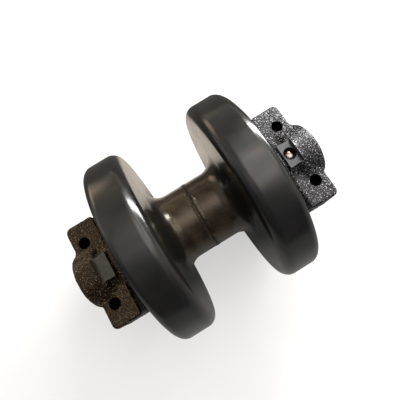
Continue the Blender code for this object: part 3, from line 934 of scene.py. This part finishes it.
def slab(name, low, high, tilt=0.0):
    """A box to cut with. Its underside may be tilted about its middle, so that it falls along +x."""
    shape = bmesh.new()
    bmesh.ops.create_cube(shape, size=1.0)
    middle = (Vector(low) + Vector(high)) / 2
    size = Vector(high) - Vector(low)
    for vert in shape.verts:
        vert.co = Vector(a * b for a, b in zip(vert.co, size)) + middle
        if vert.co.z < middle.z:
            vert.co.z -= tilt * (vert.co.x - middle.x)
    return add_bmesh(name, shape, None)


def machining_tools(side):
    """What is cut from a casting: mounting faces, facet, seal pocket with the bore, and round holes."""
    wide = PAD_HALF_WIDTH + 0.010
    near, far = sorted((side * (COLLAR_FLANGE_END_X + 0.002), side * (BOSS_END_X + 0.010)))
    yield slab("mill", (near, -wide, 2 * MOUNT_FACE_Z), (far, wide, MOUNT_FACE_Z))
    ends = (PAD_INNER_X - 0.002, BOSS_INNER_X + 0.0015)
    near, far = sorted(side * x for x in ends)
    slope = side * (facet_height(ends[0]) - facet_height(ends[1])) / (ends[1] - ends[0])
    middle = facet_height(sum(ends) / 2)
    yield slab("facet", (near, -0.030, middle), (far, 0.030, middle + 0.020), slope)
    front = SEAL_X + SEAL_GAP / 2 - OVERCUT
    seal_back = SEAL_X + SEAL_BORE_BACK
    bore = SHAFT_RADIUS + CLEARANCE
    past_end = 0.001
    yield turned("pocket", [
        (front, 0.0), (front, SEAL_BORE_RADIUS), (seal_back, SEAL_BORE_RADIUS),
        (seal_back, bore), (BOSS_END_X - BOSS_BORE_CHAMFER, bore),
        (BOSS_END_X + past_end, bore + BOSS_BORE_CHAMFER + past_end), (BOSS_END_X + past_end, 0.0),
    ], None, side, POCKET_STEPS, closed=False)
    for y in (-BOLT_Y, BOLT_Y):
        hole = bar("hole", MOUNT_FACE_Z - OVERCUT, PAD_SEAT_Z + OVERCUT, BOLT_HOLE_RADIUS, HOLE_STEPS)
        yield upright(hole, side * BOLT_X, y)
    low, high = pin_hole_ends(side)
    yield upright(bar("hole", low, high, PIN_RADIUS + CLEARANCE, HOLE_STEPS), side * PIN_X)
    if side == RIGHT:
        yield upright(bar("mouth", RIGHT_PIN_TOP, high, PIN_MOUTH_RADIUS, BAR_STEPS), PIN_X)


def make_collar(word, side, slot, looks, seed):
    """A collar: its casting, cut by each tool, with looks for its cast, milled and bored faces."""
    collar = cast_body(f"{word}_collar", side, seed)
    for tool in machining_tools(side):
        cut(collar, tool, "MANIFOLD")
    paint_cuts(collar, side, looks)
    fit(collar, "axle", slot, f"collar_{word}")


def paint_cuts(collar, side, looks):
    """Gives milled faces their own look, the insides of holes a near-black look of painted shade, and breaks
    the shading at edges.
    """
    mesh = collar.data
    mesh.materials.clear()
    for look in looks:
        mesh.materials.append(look)
    holes = [
        (side * BOLT_X, BOLT_Y, BOLT_HOLE_RADIUS), (side * BOLT_X, -BOLT_Y, BOLT_HOLE_RADIUS),
        (side * PIN_X, 0.0, PIN_MOUTH_RADIUS),
    ]
    milled, bored = 1, 2
    upward, nearly_upward = 0.999, 0.95
    for face in mesh.polygons:
        x, y, z = face.center
        mount_face = face.normal.z < -upward and abs(z - MOUNT_FACE_Z) < 1e-5
        facet = face.normal.z > nearly_upward and abs(z - facet_height(abs(x))) < 1e-4
        shaft_bore = math.hypot(y, z) < SHAFT_RADIUS + 0.002
        inside = False
        for hole_x, hole_y, radius in holes:
            off_x, off_y = x - hole_x, y - hole_y
            facing = face.normal.x * off_x + face.normal.y * off_y < 0 or face.normal.z > upward
            inside = inside or (math.hypot(off_x, off_y) < radius + 0.0002 and facing)
        if inside and not facet and not mount_face:
            face.material_index = bored
        elif mount_face or facet or shaft_bore:
            face.material_index = milled
    shaded(mesh, CAST_SHARP_DEGREES)


def facet_height(x):
    """Height of the milled facet, which falls outboard."""
    start = PAD_INNER_X + NOTCH_DEPTH
    return FACET_Z - FACET_DROP * (x - start) / (BOSS_INNER_X + COLLAR_OVERLAP - start)


def pin_hole_ends(side):
    """The right pin's hole opens in the facet, the left one's in the mounting face."""
    if side == RIGHT:
        return MOUNT_FACE_Z + PIN_WALL, FACET_Z + OVERCUT
    return MOUNT_FACE_Z - OVERCUT, FACET_Z - FACET_DROP - PIN_WALL


def make_pins(look):
    """Lock pins: the visible end of each is a shallow polished dome inside a chamfer."""
    for word, side in SIDES.items():
        low, high = pin_hole_ends(side)
        if side == RIGHT:
            low, high = low + CLEARANCE, RIGHT_PIN_TOP
        else:
            low, high = MOUNT_FACE_Z + LEFT_PIN_RECESS, high - CLEARANCE
        shares = [i / DOME_STEPS for i in range(DOME_STEPS + 1)]
        dome = [(PIN_DOME * share**2, PIN_FLAT_RADIUS * share) for share in shares]
        dome.append((PIN_DOME + PIN_CHAMFER, PIN_RADIUS))
        outline = [(low + depth, radius) for depth, radius in dome]
        outline += [(high - depth, radius) for depth, radius in reversed(dome)]
        pin = upright(turned(f"{word}_lock_pin", outline, look, steps=BAR_STEPS, closed=False), 0.0)
        pin.location.x = side * PIN_X
        fit(pin, "axle", "pin_steel", f"lock_pin_{word}")


# ---------------------------------------------------------------- floor, light and camera

def make_floor():
    """A pale floor to see, and a glowing one at the same height, seen only in reflections, whose glow is
    painted shadow and light for the paint to reflect.
    """
    for name, drop in (("floor", 0.0), ("floor_reflected", REFLECTED_DROP)):
        shape = bmesh.new()
        bmesh.ops.create_grid(shape, x_segments=1, y_segments=1, size=FLOOR_SIZE)
        look, tree, shader = new_look(name, Roughness=0.9, Specular_IOR_Level=0.0, Emission_Strength=1.0)
        if drop:
            colour = ramp(tree, grain(tree, 0.12, 2), (0.30, 0.02), (0.75, 0.03))
            # The reflected floor's glow is painted shadow and light, made by reflected_light.
            tree.links.new(reflected_light(tree), shader.inputs["Emission Color"])
        else:
            colour = ramp(tree, grain(tree, 0.12, 2), (0.30, 0.42), (0.75, 0.46))
            glow = ramp(tree, grain(tree, 0.30, 2), (0.30, 0.50), (0.75, 0.54))
            tree.links.new(glow, shader.inputs["Emission Color"])
        tree.links.new(colour, shader.inputs["Base Color"])
        floor = add_bmesh(name, shape, look)
        floor.location.z = CAD_BOX[0].z - drop
        floor.visible_glossy = drop > 0
        floor.visible_camera = floor.visible_diffuse = drop == 0


def make_backdrop():
    """A pale round wall far behind, seen only by the camera."""
    points, faces = [], []
    for i in range(BACKDROP_STEPS):
        turn = 2 * math.pi * i / BACKDROP_STEPS
        for height in (CAD_BOX[0].z - 0.1, BACKDROP_TOP):
            points.append((BACKDROP_RADIUS * math.cos(turn), BACKDROP_RADIUS * math.sin(turn), height))
        after = (i + 1) % BACKDROP_STEPS
        faces.append((2 * i, 2 * after, 2 * after + 1, 2 * i + 1))
    wall = add_mesh("backdrop", points, faces, None)
    look, tree, shader = new_look("backdrop", Roughness=0.9, Specular_IOR_Level=0.0, Emission_Strength=1.0)
    tree.links.new(ramp(tree, grain(tree, 2.0, 2), (0.30, 0.02), (0.75, 0.03)), shader.inputs["Base Color"])
    glow = ramp(tree, grain(tree, 2.5, 2), (0.30, 0.88), (0.75, 0.94))
    tree.links.new(glow, shader.inputs["Emission Color"])
    wall.data.materials.append(look)
    wall.visible_glossy = wall.visible_diffuse = wall.visible_shadow = False
    wall.visible_transmission = False


def reflected_light(tree):
    """The reflected floor's glow as painted light: painted shadow under the roller, paler before it, and a
    painted pool of warm light in a spot behind.
    """
    parts = tree.nodes.new("ShaderNodeSeparateXYZ")
    tree.links.new(place(tree), parts.inputs["Vector"])
    along = tree.nodes.new("ShaderNodeMapRange")
    along.inputs["From Min"].default_value = -0.5
    along.inputs["From Max"].default_value = 0.5
    tree.links.new(parts.outputs["Y"], along.inputs["Value"])
    # Painted shadow: near black under the roller, paler towards each side.
    base = ramp(
        tree, along.outputs["Result"],
        (0.00, (0.30, 0.30, 0.30)), (0.20, (0.38, 0.38, 0.37)), (0.36, (0.30, 0.29, 0.28)),
        (0.44, (0.03, 0.03, 0.03)), (0.56, (0.03, 0.03, 0.03)), (0.62, (0.09, 0.08, 0.07)),
        (0.82, (0.14, 0.13, 0.12)),
    )
    spot = tree.nodes.new("ShaderNodeVectorMath")
    spot.operation = "DISTANCE"
    spot.inputs[1].default_value = REFLECTED_SPOT
    tree.links.new(place(tree), spot.inputs[0])
    fade = tree.nodes.new("ShaderNodeMapRange")
    fade.interpolation_type = "SMOOTHSTEP"
    fade.inputs["From Min"].default_value = 0.10
    fade.inputs["From Max"].default_value = 0.05
    tree.links.new(spot.outputs["Value"], fade.inputs["Value"])
    # Painted pool of warm light around the spot behind the roller.
    mix = tree.nodes.new("ShaderNodeMix")
    mix.data_type = "RGBA"
    mix.inputs["B"].default_value = (0.88, 0.78, 0.68, 1.0)
    tree.links.new(fade.outputs["Result"], mix.inputs["Factor"])
    tree.links.new(base, mix.inputs["A"])
    return mix.outputs["Result"]


def make_world():
    """Studio surroundings: dim behind the camera's lower side, with soft patches overhead and beyond."""
    world = bpy.data.worlds.new("studio")
    bpy.context.scene.world = world
    world.use_nodes = True
    tree = world.node_tree
    background = tree.nodes["Background"]
    coords = tree.nodes.new("ShaderNodeTexCoord").outputs["Generated"]

    def toward(direction, low, high):
        """How far a ray points along a direction, as 0 at the cosine low and 1 at the cosine high."""
        dot = tree.nodes.new("ShaderNodeVectorMath")
        dot.operation = "DOT_PRODUCT"
        dot.inputs[1].default_value = Vector(direction).normalized()
        tree.links.new(coords, dot.inputs[0])
        spread = tree.nodes.new("ShaderNodeMapRange")
        spread.interpolation_type = "SMOOTHSTEP"
        spread.inputs["From Min"].default_value = low
        spread.inputs["From Max"].default_value = high
        tree.links.new(dot.outputs["Value"], spread.inputs["Value"])
        return spread.outputs["Result"]

    def mixed(kind, first, second):
        """Adds or multiplies two colours, the second a socket or a constant, and gives the node too."""
        node = tree.nodes.new("ShaderNodeMix")
        node.data_type = "RGBA"
        node.blend_type = kind
        node.clamp_result = False
        node.inputs["Factor"].default_value = 1.0
        tree.links.new(first, node.inputs["A"])
        if isinstance(second, tuple):
            node.inputs["B"].default_value = (*second, 1.0)
        else:
            tree.links.new(second, node.inputs["B"])
        return node.outputs["Result"], node

    total = ramp(
        tree, toward(SKY_DIRECTION, -1.0, 1.0),
        (0.04, (0.10, 0.10, 0.11)), (0.25, (0.20, 0.20, 0.21)), (0.42, (0.45, 0.45, 0.45)),
        (0.70, (0.85, 0.84, 0.80)), (0.95, (0.50, 0.47, 0.41)),
    )
    for direction, inner, outer, light in PATCHES:
        share = toward(direction, math.cos(math.radians(outer)), math.cos(math.radians(inner)))
        total, node = mixed("ADD", total, light)
        tree.links.new(share, node.inputs["Factor"])
    clutter = tree.nodes.new("ShaderNodeTexNoise")
    clutter.inputs["Scale"].default_value = CLUTTER_SCALE
    clutter.inputs["Detail"].default_value = CLUTTER_DETAIL
    tree.links.new(coords, clutter.inputs["Vector"])
    tints = ramp(
        tree, clutter.outputs["Fac"],
        (0.34, (0.46, 0.52, 0.46)), (0.44, (0.80, 0.86, 0.80)),
        (0.54, (1.02, 0.98, 1.06)), (0.66, (1.60, 1.48, 1.36)),
    )
    total, _ = mixed("MULTIPLY", total, tints)
    tree.links.new(total, background.inputs["Color"])


def make_key_light():
    """A tall soft strip facing the roller, its upper end leaned over."""
    data = bpy.data.lights.new("key", "AREA")
    data.shape = "RECTANGLE"
    data.size, data.size_y = KEY_SIZE
    data.energy = KEY_POWER
    obj = bpy.data.objects.new("key", data)
    obj.location = KEY_PLACE
    facing = (Vector(KEY_AIM) - Vector(KEY_PLACE)).to_track_quat("-Z", "Y").to_matrix()
    obj.rotation_euler = (facing @ Matrix.Rotation(math.radians(KEY_LEAN), 3, "Z")).to_euler()
    bpy.context.scene.collection.objects.link(obj)


def make_camera():
    """A camera nearly overhead, rolled so that the shaft slants up to the right."""
    place_at = Vector(CAMERA_PLACE)
    back = (place_at - Vector(CAMERA_AIM)).normalized()
    right = Vector(CAMERA_UP).cross(back).normalized()
    data = bpy.data.cameras.new("camera")
    data.lens = CAMERA_LENS
    data.sensor_width = CAMERA_SENSOR
    data.clip_start = CAMERA_CLIP
    obj = bpy.data.objects.new("camera", data)
    axes = Matrix((right, back.cross(right), back)).transposed().to_4x4()
    obj.matrix_world = Matrix.Translation(place_at) @ axes
    bpy.context.scene.collection.objects.link(obj)
    bpy.context.scene.camera = obj


def make_collars():
    """The left collar's paint is browner than the right one's."""
    # Near-black painted shade for the insides of the holes.
    dark = bore_shade_look()
    # In each cast paint the low colour is painted shade in the hollows, and the brightest colour is painted
    # glints on the highest grains.
    brown = cast_paint(
        "cast_paint_brown", low=(0.0020, 0.0014, 0.0010), high=(0.024, 0.0165, 0.0095),
        painted_glint=(0.19, 0.155, 0.11), tint=(0.90, 0.62, 0.38),
    )
    brown_milled = milled_paint("milled_paint_brown", (0.030, 0.023, 0.015), (0.070, 0.056, 0.040))
    grey = cast_paint(
        "cast_paint_grey", low=(0.002, 0.002, 0.002), high=(0.056, 0.056, 0.062),
        painted_glint=(0.42, 0.42, 0.44), tint=(0.80, 0.80, 0.83),
    )
    grey_milled = milled_paint("milled_paint_grey", (0.022, 0.025, 0.030), (0.056, 0.061, 0.070))
    make_collar("left", LEFT, "cast_paint_brown", (brown, brown_milled, dark), LEFT_SEED)
    make_collar("right", RIGHT, "cast_paint_grey", (grey, grey_milled, dark), RIGHT_SEED)


def main():
    """Builds every piece with its look, then the stage, the light and the camera."""
    steel = metal("ground_steel", (0.42, 0.42, 0.43), (0.56, 0.56, 0.57), 0.20, 0.34)
    bronze = metal("bronze", (0.50, 0.31, 0.13), (0.66, 0.44, 0.20), 0.26, 0.42)
    iron = metal("seal_iron", (0.50, 0.50, 0.52), (0.66, 0.66, 0.68), 0.08, 0.18)
    zinc = metal("zinc", (0.56, 0.54, 0.46), (0.70, 0.68, 0.60), 0.24, 0.40)
    copper = metal("copper", (0.60, 0.30, 0.18), (0.74, 0.42, 0.28), 0.26, 0.42)
    make_shells(shell_paint())
    make_weld(weld_paint())
    make_bushings(bronze)
    make_shaft(steel)
    make_plug(zinc, copper)
    make_seals(iron, rubber("seal_rubber"))
    make_collars()
    make_pins(pin_metal())
    make_floor()
    make_backdrop()
    make_world()
    make_key_light()
    make_camera()
    bpy.context.scene.view_settings.view_transform = "Standard"


main()
